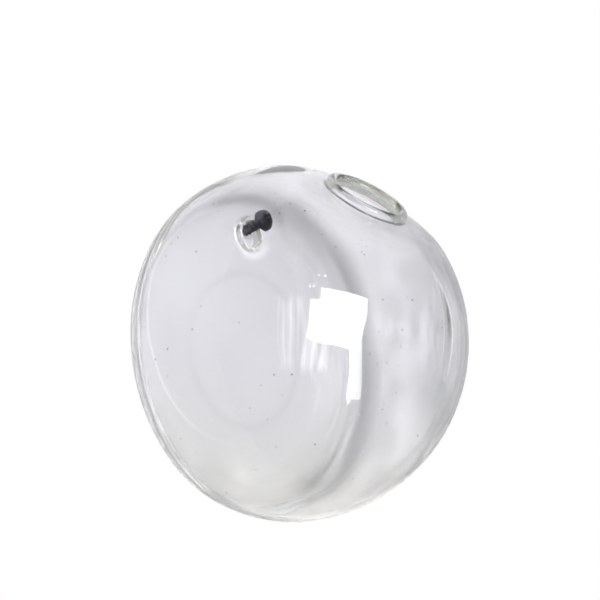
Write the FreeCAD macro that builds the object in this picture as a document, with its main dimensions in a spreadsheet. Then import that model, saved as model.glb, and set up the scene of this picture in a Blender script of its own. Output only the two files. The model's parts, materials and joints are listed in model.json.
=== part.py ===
"""Wall-hung blown-glass propagation vase with its pan-head hanging screw.

Units are millimetres. The origin is the point where the screw's axis crosses the wall plane, +Z is up
and the room lies towards -Y. The driving dimensions sit in the sheet "sizes", and every sketch, feature
and placement is bound to them. Each piece is drawn about its own axis, with sketches that run the radius
along their first direction and the axis along their second.
"""
import FreeCAD, Part
import math
import os
import Sketcher
from FreeCAD import Placement, Rotation, Vector

SIZES = {
    # glass vessel: a sphere towards the room, flat against the wall, with a round heel between them
    "dome_radius": 75.0,
    "belly_depth": 28.0,
    "back_radius": 56.0,
    "heel_radius": 12.0,
    "glass_wall": 2.4,
    # mouth: a flattened shoulder and a fire-polished lip about an axis through the sphere's centre
    "mouth_tilt": 38.3,
    "shoulder_sink": 4.0,
    "shoulder_radius": 115.0,
    "shoulder_blend": 30.0,
    "mouth_radius": 14.0,
    "lip_radius": 2.3,
    "lip_rise": 0.7,
    "mouth_ease": 0.8,
    # hanging hole: set in from the flat's rim, its collar turned into the vessel with a wide foot
    "hang_inset": 9.5,
    "hole_radius": 4.9,
    "hole_ease": 0.6,
    "collar_reach": 5.0,
    "collar_edge": 1.0,
    "collar_foot": 2.6,
    "hang_clearance": 0.25,
    # hanging screw: pan head, cross recess and a thread from head to tip
    "screw_tilt": 14.0,
    "screw_length": 35.0,
    "screw_standoff": 11.3,
    "thread_radius": 2.0,
    "core_radius": 1.35,
    "thread_pitch": 1.8,
    "thread_root": 0.9,
    "thread_crest": 0.15,
    "thread_bury": 0.1,
    "thread_runout": 0.5,
    "tip_length": 4.5,
    "head_radius": 4.0,
    "head_height": 2.8,
    "head_round": 1.8,
    "recess_radius": 2.2,
    "recess_floor": 1.0,
    "recess_depth": 1.9,
    "recess_slot": 1.0,
    "recess_turn": 45.0,
    "overrun": 1.0,
}

# Height of the flattened shoulder above the sphere's centre, on the mouth axis and at the lip's ring.
SHOULDER_TOP = "(sizes.dome_radius - sizes.shoulder_sink)"
LIP_RING = "(sizes.mouth_radius + sizes.lip_radius)"
SHOULDER_AT_LIP = (
    f"({SHOULDER_TOP} - sizes.shoulder_radius"
    f" + sqrt(sizes.shoulder_radius ^ 2 - {LIP_RING} ^ 2))"
)
LIP_LEVEL = f"({SHOULDER_AT_LIP} + sizes.lip_rise)"

# Radius of the flat back, where the heel begins, and height of the hanging hole above the vessel's axis.
FLAT_RADIUS = (
    "(sizes.dome_radius - sizes.back_radius"
    " + sqrt((sizes.back_radius - sizes.heel_radius) ^ 2"
    " - (sizes.belly_depth - sizes.heel_radius) ^ 2))"
)
HANG_HEIGHT = f"({FLAT_RADIUS} - sizes.hang_inset)"

# The collar bears on the shank where its bore ends, at this depth from the wall.
BEARING_DEPTH = "(sizes.collar_reach - sizes.collar_edge)"
BEARING_HEIGHT = (
    f"({BEARING_DEPTH} * tan(sizes.screw_tilt * 1 deg)"
    " + sizes.thread_radius / cos(sizes.screw_tilt * 1 deg))"
)
VESSEL_DROP = (
    f"({HANG_HEIGHT} + sizes.hole_radius - {BEARING_HEIGHT} - sizes.hang_clearance)"
)

# Two sizes or directions that differ by less than this count as the same.
SAME = 0.05


def make_sheet(doc):
    """Writes the driving dimensions to the sheet, one alias per row."""
    sheet = doc.addObject("Spreadsheet::Sheet", "sizes")
    for row, (alias, value) in enumerate(SIZES.items(), start=1):
        sheet.set(f"A{row}", alias)
        sheet.set(f"B{row}", str(value))
        sheet.setAlias(f"B{row}", alias)
    doc.recompute()
    return sheet


def new_body(doc, name):
    """Makes an empty body whose label names its file."""
    body = doc.addObject("PartDesign::Body", name)
    body.Label = name
    return body


def new_sketch(body, name, role):
    """Makes a sketch on one of the body's own origin planes."""
    plane = next(feature for feature in body.Origin.OriginFeatures if feature.Role == role)
    sketch = body.newObject("Sketcher::SketchObject", name)
    sketch.AttachmentSupport = [(plane, "")]
    sketch.MapMode = "FlatFace"
    return sketch


def value_of(sketch, formula):
    """Reads a formula of the sheet as a plain number."""
    result = sketch.evalExpression(formula)
    return float(getattr(result, "Value", result))


def dimension(sketch, name, kind, references, formula):
    """Adds one named dimension and binds it to a formula of the sheet."""
    index = sketch.addConstraint(Sketcher.Constraint(kind, *references, value_of(sketch, formula)))
    sketch.renameConstraint(index, name)
    sketch.setExpression(f"Constraints.{name}", formula)


def constrain(sketch, *constraints):
    """Adds geometric constraints, each given as its kind and references."""
    for kind, *references in constraints:
        sketch.addConstraint(Sketcher.Constraint(kind, *references))


def add_line(sketch, start, end):
    """Adds a straight line between two points of the sketch."""
    return sketch.addGeometry(Part.LineSegment(Vector(*start, 0), Vector(*end, 0)), False)


def add_arc(sketch, centre, radius, start_angle, end_angle):
    """Adds an arc that runs anticlockwise between two angles in radians."""
    circle = Part.Circle(Vector(*centre, 0), Vector(0, 0, 1), radius)
    return sketch.addGeometry(Part.ArcOfCircle(circle, start_angle, end_angle), False)


def place(sketch, name, point, radius=None, level=None):
    """Fixes one point of the sketch by its radius and its level, where they are given.

    The point is a pair of a geometry index and a point number. A radius of None leaves the point free
    across the axis, and a level of None leaves it free along the axis.
    """
    if radius is not None:
        dimension(sketch, f"{name}_radius", "DistanceX", (-1, 1, *point), radius)
    if level is not None:
        dimension(sketch, f"{name}_level", "DistanceY", (-1, 1, *point), level)


def turn(body, name, sketch, kind="Revolution"):
    """Turns a sketch full circle about its second direction, adding or cutting."""
    feature = body.newObject(f"PartDesign::{kind}", name)
    feature.Profile = sketch
    feature.ReferenceAxis = (sketch, ["V_Axis"])
    feature.Angle = 360
    sketch.Document.recompute()
    return feature


def cut_by(body, volume_before, name):
    """Stops the build if a cut took nothing away."""
    if body.Shape.Volume >= volume_before:
        raise RuntimeError(f"{name} cut nothing")


def groove(body, name, sketch):
    """Cuts a turned groove and checks that it removed material."""
    volume_before = body.Shape.Volume
    feature = turn(body, name, sketch, "Groove")
    cut_by(body, volume_before, name)
    return feature


def bubble_outline(body, name, inset):
    """Draws half the vessel's section: flat back, heel, back of the belly and dome.

    The inset is a formula that moves the whole outline inwards, and is None for the outer face.
    """
    sketch = new_sketch(body, name, "XZ_Plane")
    less = f" - {inset}" if inset else ""
    start = value_of(sketch, inset) if inset else 0
    dome = value_of(sketch, "sizes.dome_radius" + less)
    back = value_of(sketch, "sizes.back_radius" + less)
    heel = value_of(sketch, "sizes.heel_radius" + less)
    belly = value_of(sketch, "sizes.belly_depth")
    back_centre = value_of(sketch, "sizes.dome_radius - sizes.back_radius")
    heel_level = value_of(sketch, "sizes.heel_radius")
    between = value_of(sketch, "sizes.back_radius - sizes.heel_radius")
    fall = math.asin((belly - heel_level) / between)
    heel_centre = back_centre + between * math.cos(fall)

    flat = add_line(sketch, (0, start), (heel_centre, start))
    heel_arc = add_arc(sketch, (heel_centre, heel_level), heel, -math.pi / 2, -fall)
    back_arc = add_arc(sketch, (back_centre, belly), back, -fall, 0)
    dome_arc = add_arc(sketch, (0, belly), dome, 0, math.pi / 2)
    axis = add_line(sketch, (0, belly + dome), (0, start))
    constrain(
        sketch,
        ("Tangent", flat, 2, heel_arc, 1),
        ("Tangent", heel_arc, 2, back_arc, 1),
        ("Tangent", back_arc, 2, dome_arc, 1),
        ("Coincident", dome_arc, 2, axis, 1),
        ("Coincident", axis, 2, flat, 1),
        ("Horizontal", flat),
        ("Vertical", axis),
        ("PointOnObject", dome_arc, 3, -2),
        ("Horizontal", dome_arc, 1, dome_arc, 3),
    )
    if inset:
        constrain(sketch, ("PointOnObject", flat, 1, -2))
        place(sketch, "back", (flat, 1), level=inset)
    else:
        constrain(sketch, ("Coincident", flat, 1, -1, 1))
    place(sketch, "belly", (dome_arc, 3), level="sizes.belly_depth")
    dimension(sketch, "dome", "Radius", (dome_arc,), "sizes.dome_radius" + less)
    dimension(sketch, "back", "Radius", (back_arc,), "sizes.back_radius" + less)
    dimension(sketch, "heel", "Radius", (heel_arc,), "sizes.heel_radius" + less)
    return sketch


def mouth_sketch(body, name):
    """Makes a sketch whose second direction is the mouth axis, from the sphere's centre outwards."""
    sketch = new_sketch(body, name, "YZ_Plane")
    sketch.AttachmentOffset = Placement(Vector(0, 0, 0), Rotation(Vector(0, 0, 1), -90))
    sketch.setExpression("AttachmentOffset.Base.y", "sizes.belly_depth")
    sketch.setExpression("AttachmentOffset.Rotation.Angle", "sizes.mouth_tilt - 90")
    return sketch


def shoulder_outline(body, name, inset):
    """Draws the cut that flattens the dome about the mouth to a wider sphere."""
    sketch = mouth_sketch(body, name)
    less = f" - {inset}" if inset else ""
    top_formula = SHOULDER_TOP + less
    radius_formula = "sizes.shoulder_radius" + less
    outside_formula = "sizes.dome_radius + sizes.overrun"
    radius = value_of(sketch, radius_formula)
    top = value_of(sketch, top_formula)
    outside = value_of(sketch, outside_formula)
    angle = math.acos(outside / radius)
    edge_level = top - radius + radius * math.sin(angle)

    cap = add_arc(sketch, (0, top - radius), radius, angle, math.pi / 2)
    side = add_line(sketch, (outside, edge_level), (outside, outside))
    lid = add_line(sketch, (outside, outside), (0, outside))
    axis = add_line(sketch, (0, outside), (0, top))
    constrain(
        sketch,
        ("Coincident", cap, 1, side, 1),
        ("Coincident", side, 2, lid, 1),
        ("Coincident", lid, 2, axis, 1),
        ("Coincident", axis, 2, cap, 2),
        ("Vertical", side),
        ("Horizontal", lid),
        ("PointOnObject", lid, 2, -2),
        ("PointOnObject", cap, 2, -2),
        ("PointOnObject", cap, 3, -2),
    )
    dimension(sketch, "cap", "Radius", (cap,), radius_formula)
    place(sketch, "cap", (cap, 2), level=top_formula)
    place(sketch, "outside", (side, 2), outside_formula, outside_formula)
    return sketch


def axis_direction(feature_sketch):
    """Gives the origin and direction of a sketch's second direction in its body."""
    frame = feature_sketch.Placement
    return frame.Base, frame.Rotation.multVec(Vector(0, 1, 0))


def edges_about(shape, sketch, radius=None, level=None):
    """Names the circular edges about a sketch's axis, of one radius and level where they are given."""
    origin, direction = axis_direction(sketch)
    names = []
    for number, edge in enumerate(shape.Edges, start=1):
        if edge.Degenerated or not isinstance(edge.Curve, Part.Circle):
            continue
        offset = edge.Curve.Center - origin
        along = offset.dot(direction)
        same_axis = edge.Curve.Axis.cross(direction).Length < SAME
        centred = (offset - direction * along).Length < SAME
        fits_radius = radius is None or abs(edge.Curve.Radius - radius) < SAME
        fits_level = level is None or abs(along - level) < SAME
        if same_axis and centred and fits_radius and fits_level:
            names.append(f"Edge{number}")
    return names


def round_over(body, name, sketch, radius_formula, radius=None, level=None):
    """Rounds the circular edges about a sketch's axis."""
    base = body.Tip
    names = edges_about(base.Shape, sketch, radius, level)
    if not names:
        raise RuntimeError(f"{name} found no edge")
    feature = body.newObject("PartDesign::Fillet", name)
    feature.Base = (base, names)
    feature.setExpression("Radius", radius_formula)
    body.Document.recompute()
    return feature


def bubble(body, prefix, inset=None):
    """Builds the closed bubble with its flattened shoulder, on the outer face or inset from it."""
    less = f" - {inset}" if inset else ""
    turn(body, f"{prefix}_bubble", bubble_outline(body, f"{prefix}_outline", inset))
    shoulder = shoulder_outline(body, f"{prefix}_shoulder_outline", inset)
    groove(body, f"{prefix}_shoulder", shoulder)
    round_over(body, f"{prefix}_shoulder_blend", shoulder, "sizes.shoulder_blend" + less)


def mouth(body):
    """Opens the mouth through the shoulder and adds the round lip that stands on it."""
    bore = mouth_sketch(body, "mouth_bore_outline")
    low_formula = f"{SHOULDER_AT_LIP} - sizes.glass_wall - sizes.lip_radius"
    high_formula = f"{LIP_LEVEL} + sizes.lip_radius + sizes.overrun"
    rectangle(bore, "bore", "sizes.mouth_radius", low_formula, high_formula)
    groove(body, "mouth_bore", bore)

    inner = value_of(bore, "sizes.mouth_radius")
    inner_edge = min(
        edge.Curve.Center.sub(bore.Placement.Base).Length
        for name in edges_about(body.Shape, bore, inner)
        for edge in [body.Shape.getElement(name)]
    )
    round_over(body, "mouth_ease", bore, "sizes.mouth_ease", inner, inner_edge)

    sketch = mouth_sketch(body, "lip_outline")
    seat_formula = f"{SHOULDER_AT_LIP} - sizes.glass_wall / 2"
    bead = value_of(sketch, "sizes.lip_radius")
    seat = value_of(sketch, seat_formula)
    level = value_of(sketch, LIP_LEVEL)
    outer = inner + bead + bead
    floor = add_line(sketch, (inner, seat), (outer, seat))
    outside = add_line(sketch, (outer, seat), (outer, level))
    crown = add_arc(sketch, (inner + bead, level), bead, 0, math.pi)
    inside = add_line(sketch, (inner, level), (inner, seat))
    constrain(
        sketch,
        ("Coincident", floor, 2, outside, 1),
        ("Tangent", outside, 2, crown, 1),
        ("Tangent", crown, 2, inside, 1),
        ("Coincident", inside, 2, floor, 1),
        ("Horizontal", floor),
        ("Vertical", outside),
        ("Vertical", inside),
    )
    place(sketch, "seat", (floor, 1), "sizes.mouth_radius", seat_formula)
    place(sketch, "crown", (crown, 3), level=LIP_LEVEL)
    dimension(sketch, "crown", "Radius", (crown,), "sizes.lip_radius")
    turn(body, "lip", sketch)


def rectangle(sketch, name, radius, low, high):
    """Draws a rectangle from the axis out to a radius, between two levels."""
    reach = value_of(sketch, radius)
    bottom = value_of(sketch, low)
    top = value_of(sketch, high)
    corners = [(0, bottom), (reach, bottom), (reach, top), (0, top)]
    sides = [add_line(sketch, corners[i], corners[(i + 1) % 4]) for i in range(4)]
    for i in range(4):
        constrain(sketch, ("Coincident", sides[i], 2, sides[(i + 1) % 4], 1))
    constrain(
        sketch,
        ("Horizontal", sides[0]),
        ("Vertical", sides[1]),
        ("Horizontal", sides[2]),
        ("PointOnObject", sides[0], 1, -2),
        ("PointOnObject", sides[2], 2, -2),
    )
    place(sketch, f"{name}_low", (sides[0], 2), radius, low)
    place(sketch, f"{name}_high", (sides[2], 1), level=high)
    return sketch


def hole_sketch(body, name):
    """Makes a sketch whose second direction is the hanging hole's axis, from the wall plane inwards."""
    sketch = new_sketch(body, name, "YZ_Plane")
    sketch.setExpression("AttachmentOffset.Base.x", HANG_HEIGHT)
    return sketch


def hanging_hole(body):
    """Opens the hole through the flat back and turns its collar into the vessel."""
    bore = hole_sketch(body, "hole_outline")
    rectangle(bore, "hole", "sizes.hole_radius", "-sizes.overrun", "sizes.collar_reach")
    groove(body, "hole", bore)

    sketch = hole_sketch(body, "collar_outline")
    inner = value_of(sketch, "sizes.hole_radius")
    edge = value_of(sketch, "sizes.collar_edge")
    foot = value_of(sketch, "sizes.collar_foot")
    wall = value_of(sketch, "sizes.glass_wall")
    seat = value_of(sketch, "sizes.glass_wall / 2")
    edge_level = value_of(sketch, BEARING_DEPTH)
    lean = math.asin((wall + foot - edge_level) / (edge + foot))
    foot_centre = inner + edge + (edge + foot) * math.cos(lean)
    floor = add_line(sketch, (foot_centre, seat), (inner, seat))
    inside = add_line(sketch, (inner, seat), (inner, edge_level))
    tip = add_arc(sketch, (inner + edge, edge_level), edge, lean, math.pi)
    foot_arc = add_arc(sketch, (foot_centre, wall + foot), foot, math.pi + lean, 3 * math.pi / 2)
    outside = add_line(sketch, (foot_centre, wall), (foot_centre, seat))
    constrain(
        sketch,
        ("Coincident", floor, 2, inside, 1),
        ("Tangent", inside, 2, tip, 2),
        ("Tangent", tip, 1, foot_arc, 1),
        ("Coincident", foot_arc, 2, outside, 1),
        ("Coincident", outside, 2, floor, 1),
        ("Horizontal", floor),
        ("Vertical", inside),
        ("Vertical", outside),
        ("Vertical", foot_arc, 2, foot_arc, 3),
    )
    place(sketch, "seat", (inside, 1), "sizes.hole_radius", "sizes.glass_wall / 2")
    place(sketch, "tip", (tip, 3), level=BEARING_DEPTH)
    place(sketch, "foot", (foot_arc, 2), level="sizes.glass_wall")
    dimension(sketch, "tip", "Radius", (tip,), "sizes.collar_edge")
    dimension(sketch, "foot", "Radius", (foot_arc,), "sizes.collar_foot")
    turn(body, "collar", sketch)
    round_over(body, "hole_ease", sketch, "sizes.hole_ease", inner, 0)


def glass_vessel(doc):
    """Builds the vessel: bubble, hollow, mouth with its lip, and hanging hole with its collar."""
    body = new_body(doc, "glass_vessel")
    bubble(body, "outer")

    hollow_shape = new_body(doc, "hollow_shape")
    bubble(hollow_shape, "inner", "sizes.glass_wall")
    volume_before = body.Shape.Volume
    hollow = body.newObject("PartDesign::Boolean", "hollow")
    hollow.setObjects([hollow_shape])
    hollow.Type = "Cut"
    doc.recompute()
    cut_by(body, volume_before, "hollow")

    mouth(body)
    hanging_hole(body)
    body.Placement = Placement(Vector(0, 0, 0), Rotation(Vector(1, 0, 0), 90))
    body.setExpression("Placement.Base.z", f"-{VESSEL_DROP}")
    return body


def shank_and_head(body):
    """Turns the screw's core, point and pan head."""
    sketch = new_sketch(body, "screw_outline", "XZ_Plane")
    tip_formula = "sizes.screw_standoff - sizes.screw_length"
    cone_formula = f"{tip_formula} + sizes.tip_length"
    top_formula = "sizes.screw_standoff + sizes.head_height"
    core = value_of(sketch, "sizes.core_radius")
    head = value_of(sketch, "sizes.head_radius")
    tip = value_of(sketch, tip_formula)
    cone = value_of(sketch, cone_formula)
    seat = value_of(sketch, "sizes.screw_standoff")
    top = value_of(sketch, top_formula)
    corners = [(0, tip), (core, cone), (core, seat), (head, seat), (head, top), (0, top)]
    count = len(corners)
    sides = [add_line(sketch, corners[i], corners[(i + 1) % count]) for i in range(count)]
    for i in range(count):
        constrain(sketch, ("Coincident", sides[i], 2, sides[(i + 1) % count], 1))
    constrain(
        sketch,
        ("PointOnObject", sides[0], 1, -2),
        ("PointOnObject", sides[4], 2, -2),
        ("Vertical", sides[1]),
        ("Horizontal", sides[2]),
        ("Vertical", sides[3]),
        ("Horizontal", sides[4]),
    )
    place(sketch, "tip", (sides[0], 1), level=tip_formula)
    place(sketch, "cone", (sides[0], 2), "sizes.core_radius", cone_formula)
    place(sketch, "seat", (sides[2], 2), "sizes.head_radius", "sizes.screw_standoff")
    place(sketch, "top", (sides[4], 1), level=top_formula)
    turn(body, "shank_and_head", sketch)
    round_over(body, "head_round", sketch, "sizes.head_round", head, top)


def thread(body):
    """Winds the thread round the core from the point to just under the head."""
    sketch = new_sketch(body, "thread_outline", "XZ_Plane")
    start_formula = "sizes.screw_standoff - sizes.screw_length + sizes.tip_length"
    root_formula = "sizes.core_radius - sizes.thread_bury"
    flank_formula = "(sizes.thread_root - sizes.thread_crest) / 2"
    root = value_of(sketch, root_formula)
    crest = value_of(sketch, "sizes.thread_radius")
    start = value_of(sketch, start_formula)
    base = value_of(sketch, "sizes.thread_root")
    flank = value_of(sketch, flank_formula)
    corners = [(root, start), (crest, start + flank), (crest, start + base - flank), (root, start + base)]
    sides = [add_line(sketch, corners[i], corners[(i + 1) % 4]) for i in range(4)]
    for i in range(4):
        constrain(sketch, ("Coincident", sides[i], 2, sides[(i + 1) % 4], 1))
    constrain(sketch, ("Vertical", sides[1]), ("Vertical", sides[3]))
    place(sketch, "start", (sides[0], 1), root_formula, start_formula)
    place(sketch, "crest", (sides[1], 1), "sizes.thread_radius", f"{start_formula} + {flank_formula}")
    dimension(sketch, "crest_width", "DistanceY", (sides[1], 1, sides[1], 2), "sizes.thread_crest")
    dimension(sketch, "root_width", "DistanceY", (sides[3], 2, sides[3], 1), "sizes.thread_root")

    volume_before = body.Shape.Volume
    helix = body.newObject("PartDesign::AdditiveHelix", "thread")
    helix.Profile = sketch
    helix.ReferenceAxis = (sketch, ["V_Axis"])
    helix.Mode = "pitch-height-angle"
    helix.setExpression("Pitch", "sizes.thread_pitch")
    helix.setExpression(
        "Height",
        "sizes.screw_length - sizes.tip_length - sizes.thread_root - sizes.thread_runout",
    )
    body.Document.recompute()
    if body.Shape.Volume <= volume_before:
        raise RuntimeError("the thread added nothing")


def cross_recess(body):
    """Cuts the two crossed, tapering driver slots into the head."""
    sketch = new_sketch(body, "recess_outline", "XZ_Plane")
    sketch.AttachmentOffset = Placement(Vector(0, 0, 0), Rotation(Vector(0, 1, 0), 1))
    sketch.setExpression("AttachmentOffset.Rotation.Angle", "sizes.recess_turn")
    top_formula = "sizes.screw_standoff + sizes.head_height"
    floor_formula = f"{top_formula} - sizes.recess_depth"
    wide = value_of(sketch, "sizes.recess_radius")
    narrow = value_of(sketch, "sizes.recess_floor")
    top = value_of(sketch, top_formula)
    low = value_of(sketch, floor_formula)
    corners = [(narrow, low), (wide, top), (-wide, top), (-narrow, low)]
    sides = [add_line(sketch, corners[i], corners[(i + 1) % 4]) for i in range(4)]
    for i in range(4):
        constrain(sketch, ("Coincident", sides[i], 2, sides[(i + 1) % 4], 1))
    constrain(
        sketch,
        ("Symmetric", sides[0], 1, sides[3], 1, -2),
        ("Symmetric", sides[0], 2, sides[2], 1, -2),
    )
    place(sketch, "floor", (sides[0], 1), "sizes.recess_floor", floor_formula)
    place(sketch, "rim", (sides[0], 2), "sizes.recess_radius", top_formula)
    body.Document.recompute()

    volume_before = body.Shape.Volume
    slot = body.newObject("PartDesign::Pocket", "recess_slot")
    slot.Profile = sketch
    slot.SideType = "Symmetric"
    slot.setExpression("Length", "sizes.recess_slot")
    body.Document.recompute()
    cut_by(body, volume_before, "recess_slot")

    volume_before = body.Shape.Volume
    pattern = body.newObject("PartDesign::PolarPattern", "crossed_slots")
    pattern.Originals = [slot]
    pattern.Axis = (sketch, ["V_Axis"])
    pattern.Occurrences = 2
    pattern.Angle = 90
    body.Tip = pattern
    body.Document.recompute()
    cut_by(body, volume_before, "crossed_slots")


def hanging_screw(doc):
    """Builds the hanging screw along its own axis and leans it up from the wall."""
    body = new_body(doc, "hanging_screw")
    shank_and_head(body)
    thread(body)
    cross_recess(body)
    body.Placement = Placement(Vector(0, 0, 0), Rotation(Vector(1, 0, 0), 90))
    body.setExpression("Placement.Rotation.Angle", "90 - sizes.screw_tilt")
    return body


def check(doc, pieces):
    """Stops the build if any object failed or a piece isn't one valid solid."""
    for item in doc.Objects:
        if "Invalid" in item.State or "Error" in item.State:
            raise RuntimeError(f"{item.Name} failed: {item.State}")
        if item.isDerivedFrom("Sketcher::SketchObject") and item.solve() != 0:
            raise RuntimeError(f"{item.Name} doesn't solve")
    for piece in pieces:
        shape = piece.Shape
        if shape.isNull() or not shape.isValid() or len(shape.Solids) != 1:
            raise RuntimeError(f"{piece.Label} isn't one valid solid")


def write(pieces):
    """Writes each piece to a file named after it."""
    os.makedirs("parts", exist_ok=True)
    for piece in pieces:
        piece.Shape.exportStep(f"parts/{piece.Label}.step")
        box = piece.Shape.optimalBoundingBox()
        print(
            f"{piece.Label}: {piece.Shape.Volume:.0f} mm3,"
            f" X {box.XMin:.2f} to {box.XMax:.2f},"
            f" Y {box.YMin:.2f} to {box.YMax:.2f},"
            f" Z {box.ZMin:.2f} to {box.ZMax:.2f}"
        )


def main():
    """Builds the document, checks it and writes its pieces."""
    doc = FreeCAD.newDocument("propagation_vase")
    make_sheet(doc)
    pieces = [glass_vessel(doc), hanging_screw(doc)]
    doc.recompute()
    check(doc, pieces)
    write(pieces)


main()
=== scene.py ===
"""Looks of the wall-hung propagation vase: clear blown glass on a blackened pan-head screw.

Lengths are metres in the frame's own axes: the wall plane is Y = 0, the room lies towards -Y and +Z is up.
The vessel is a loft of circles. Each circle is placed by its depth from the wall, its rise above the
vessel's own axis, the lean of its normal and its radius, and one closed run of them makes the whole shell.
"""

import json
import logging
import math
from dataclasses import dataclass, field
from enum import Enum

import bpy
from mathutils import Matrix, Vector


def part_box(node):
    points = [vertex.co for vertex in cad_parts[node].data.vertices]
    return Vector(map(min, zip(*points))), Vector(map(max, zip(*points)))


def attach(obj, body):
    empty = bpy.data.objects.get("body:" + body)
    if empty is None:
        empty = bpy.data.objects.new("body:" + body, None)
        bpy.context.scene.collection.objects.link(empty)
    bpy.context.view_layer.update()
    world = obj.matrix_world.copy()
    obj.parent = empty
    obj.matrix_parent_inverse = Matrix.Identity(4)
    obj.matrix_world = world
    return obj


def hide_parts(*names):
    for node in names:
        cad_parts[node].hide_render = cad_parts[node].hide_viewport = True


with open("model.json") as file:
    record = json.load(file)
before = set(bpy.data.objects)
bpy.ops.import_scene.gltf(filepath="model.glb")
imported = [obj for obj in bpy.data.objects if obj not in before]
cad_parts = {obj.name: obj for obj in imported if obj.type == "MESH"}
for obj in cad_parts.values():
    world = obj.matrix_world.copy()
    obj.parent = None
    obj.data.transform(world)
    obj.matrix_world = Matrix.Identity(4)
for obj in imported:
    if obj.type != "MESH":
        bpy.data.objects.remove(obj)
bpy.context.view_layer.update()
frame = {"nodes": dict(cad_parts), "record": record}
MM = 0.001
LOOK_AT = (0.0, -0.028, -0.052)
MOST_TURNS = 32
MIRROR_TURNS = 16
HALF = 0.5
WHITE = (1.0, 1.0, 1.0, 1.0)
SHELL_SIZES = (
    "Swell Size", "Swell Height", "Ripple Size", "Ripple Height", "Seed",
    "Pool Radius", "Pool Depth", "Pool Width", "Pool Height", "Pool Start", "Pool Least",
    "Axis Height", "Hole Height", "Collar Clear", "Wall", "Seed Density", "Seed Small", "Seed Large",
)

Socket = bpy.types.NodeSocket
Outputs = bpy.types.NodeOutputs
Material = bpy.types.Material
Pair = tuple[float, float]
Triple = tuple[float, float, float]
Colour = tuple[float, float, float, float]
Inputs = dict[str | int, object]

log = logging.getLogger("propagation_vase")
logging.basicConfig(level=logging.INFO, format="%(name)s: %(message)s")


class Side(Enum):
    """The two faces of the blown wall, with the number that marks each in the mesh."""

    OUTER = 0.0
    INNER = 1.0


class Body(Enum):
    """The moving body of the frame that the dressed shell rides on."""

    VESSEL = "vessel"


@dataclass(frozen=True)
class Ring:
    """One circle of the loft.

    Args:
        depth: Distance of the centre from the wall plane, into the room.
        rise: Height of the centre above the vessel's axis.
        lean: Angle of the circle's normal above level, in radians.
        radius: Radius of the circle.
        side: Face of the wall that the circle lies on.
        looseness: Share of the hand-blown unevenness that it takes, from 0 to 1.
    """

    depth: float
    rise: float
    lean: float
    radius: float
    side: Side
    looseness: float


def smooth(share: float) -> float:
    """Eases a share from 0 to 1 with level ends."""
    share = min(max(share, 0.0), 1.0)
    return share * share * (3.0 - 2.0 * share)


def arc(centre: Pair, radius: float, start: float, end: float, steps: int) -> list[Pair]:
    """Points of an arc in a section.

    Args:
        centre: Radius and level of the arc's centre.
        radius: Radius of the arc.
        start: First angle in radians, from outwards towards up.
        end: Last angle in radians.
        steps: Number of stretches.

    Returns:
        Pairs of radius and level, both ends included.
    """
    angles = [start + (end - start) * i / steps for i in range(steps + 1)]
    return [(centre[0] + radius * math.cos(a), centre[1] + radius * math.sin(a)) for a in angles]


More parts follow.
